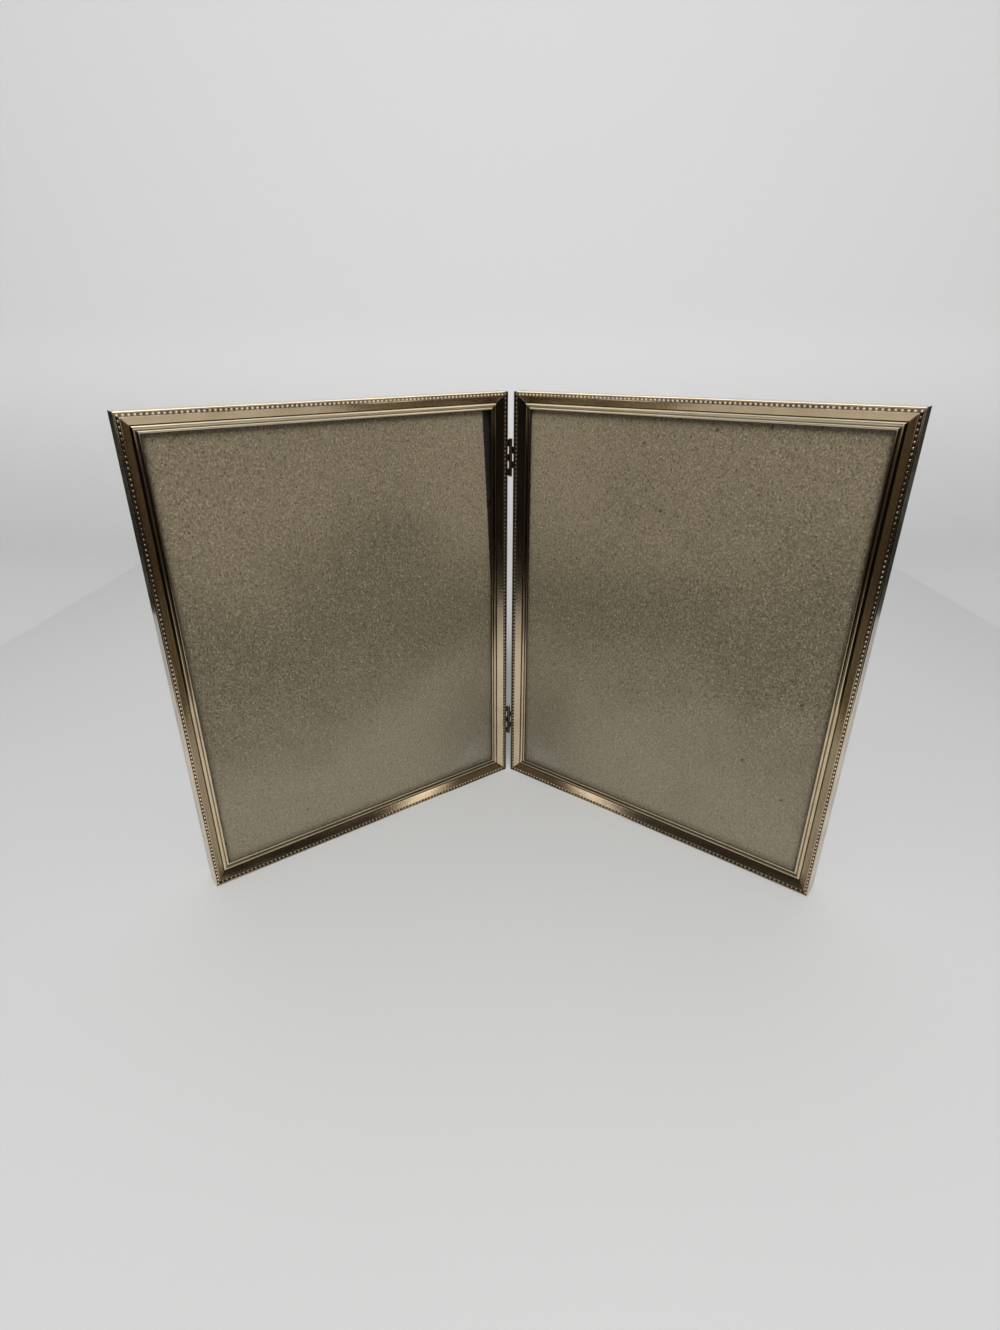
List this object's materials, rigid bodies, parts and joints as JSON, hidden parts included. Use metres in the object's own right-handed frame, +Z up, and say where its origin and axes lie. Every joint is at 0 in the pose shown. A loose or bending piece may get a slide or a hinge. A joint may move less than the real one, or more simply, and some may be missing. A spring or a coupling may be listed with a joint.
{
  "type": "hinged double photo frame",
  "caption": "Free-standing double picture frame: portrait metal leaves with beaded mitred mouldings, glass and backs with turn buttons, joined like a book by small butt hinges.",
  "frame": {"origin": "on the table below the middle of the standing frame", "axes": "+Z up, +X to the viewer's right along the pair, -Y towards the viewer, out of the open side of the V; the hinge line is at X = 0, behind the origin"},
  "size_m": [0.3616, 0.1399, 0.2667],
  "materials": {
    "brass_moulding": "aged satin brass sheet, rolled",
    "hinge_brass": "worn brass sheet",
    "button_brass": "brassed sheet",
    "rivet_brass": "clinched brass",
    "pin_steel": "drawn wire",
    "key_steel": "zinc plated",
    "clear_glass": "clear float glass",
    "grey_chipboard": "raw recycled pasteboard",
    "black_backboard": "matte black hardboard"
  },
  "bodies": {
    "left_leaf": {"left_bottom_rail": "brass_moulding", "left_top_rail": "brass_moulding", "left_hinge_rail": "brass_moulding", "left_outer_rail": "brass_moulding", "left_lower_hinge_key": "key_steel", "left_upper_hinge_key": "key_steel", "left_lower_outer_key": "key_steel", "left_upper_outer_key": "key_steel", "left_glass": "clear_glass", "left_board": "grey_chipboard", "left_back_panel": "black_backboard", "left_button_rivets": "rivet_brass", "left_hinge_rivets": "rivet_brass", "upper_hinge_left_plate": "hinge_brass", "lower_hinge_left_plate": "hinge_brass", "upper_hinge_pin": "pin_steel", "lower_hinge_pin": "pin_steel"},
    "left_lower_hinge_button_body": {"left_lower_hinge_button": "button_brass"},
    "left_upper_hinge_button_body": {"left_upper_hinge_button": "button_brass"},
    "left_lower_outer_button_body": {"left_lower_outer_button": "button_brass"},
    "left_upper_outer_button_body": {"left_upper_outer_button": "button_brass"},
    "right_leaf": {"right_bottom_rail": "brass_moulding", "right_top_rail": "brass_moulding", "right_hinge_rail": "brass_moulding", "right_outer_rail": "brass_moulding", "right_lower_hinge_key": "key_steel", "right_upper_hinge_key": "key_steel", "right_lower_outer_key": "key_steel", "right_upper_outer_key": "key_steel", "right_glass": "clear_glass", "right_board": "grey_chipboard", "right_back_panel": "black_backboard", "right_button_rivets": "rivet_brass", "right_hinge_rivets": "rivet_brass", "upper_hinge_right_plate": "hinge_brass", "lower_hinge_right_plate": "hinge_brass"},
    "right_lower_hinge_button_body": {"right_lower_hinge_button": "button_brass"},
    "right_upper_hinge_button_body": {"right_upper_hinge_button": "button_brass"},
    "right_lower_outer_button_body": {"right_lower_outer_button": "button_brass"},
    "right_upper_outer_button_body": {"right_upper_outer_button": "button_brass"}
  },
  "joints": [
    {"name": "leaf_hinge", "type": "hinge", "parent": "left_leaf", "child": "right_leaf", "pos_m": [0, 0.06167, 0.13335], "axis": [0, 0, 1], "range_deg": [-103, 84]},
    {"name": "left_lower_hinge_button_turn", "type": "hinge", "parent": "left_leaf", "child": "left_lower_hinge_button_body", "pos_m": [-0.01487, 0.06356, 0.06667], "axis": [-0.6046, 0.7965, 0], "range_deg": [-90, 90]},
    {"name": "left_upper_hinge_button_turn", "type": "hinge", "parent": "left_leaf", "child": "left_upper_hinge_button_body", "pos_m": [-0.01487, 0.06356, 0.20003], "axis": [-0.6046, 0.7965, 0], "range_deg": [-90, 90]},
    {"name": "left_lower_outer_button_turn", "type": "hinge", "parent": "left_leaf", "child": "left_lower_outer_button_body", "pos_m": [-0.1729, -0.05639, 0.06667], "axis": [-0.6046, 0.7965, 0], "range_deg": [-90, 90]},
    {"name": "left_upper_outer_button_turn", "type": "hinge", "parent": "left_leaf", "child": "left_upper_outer_button_body", "pos_m": [-0.1729, -0.05639, 0.20003], "axis": [-0.6046, 0.7965, 0], "range_deg": [-90, 90]},
    {"name": "right_lower_hinge_button_turn", "type": "hinge", "parent": "right_leaf", "child": "right_lower_hinge_button_body", "pos_m": [0.01487, 0.06356, 0.06667], "axis": [0.6046, 0.7965, 0], "range_deg": [-90, 90]},
    {"name": "right_upper_hinge_button_turn", "type": "hinge", "parent": "right_leaf", "child": "right_upper_hinge_button_body", "pos_m": [0.01487, 0.06356, 0.20003], "axis": [0.6046, 0.7965, 0], "range_deg": [-90, 90]},
    {"name": "right_lower_outer_button_turn", "type": "hinge", "parent": "right_leaf", "child": "right_lower_outer_button_body", "pos_m": [0.1729, -0.05639, 0.06667], "axis": [0.6046, 0.7965, 0], "range_deg": [-90, 90]},
    {"name": "right_upper_outer_button_turn", "type": "hinge", "parent": "right_leaf", "child": "right_upper_outer_button_body", "pos_m": [0.1729, -0.05639, 0.20003], "axis": [0.6046, 0.7965, 0], "range_deg": [-90, 90]}
  ]
}
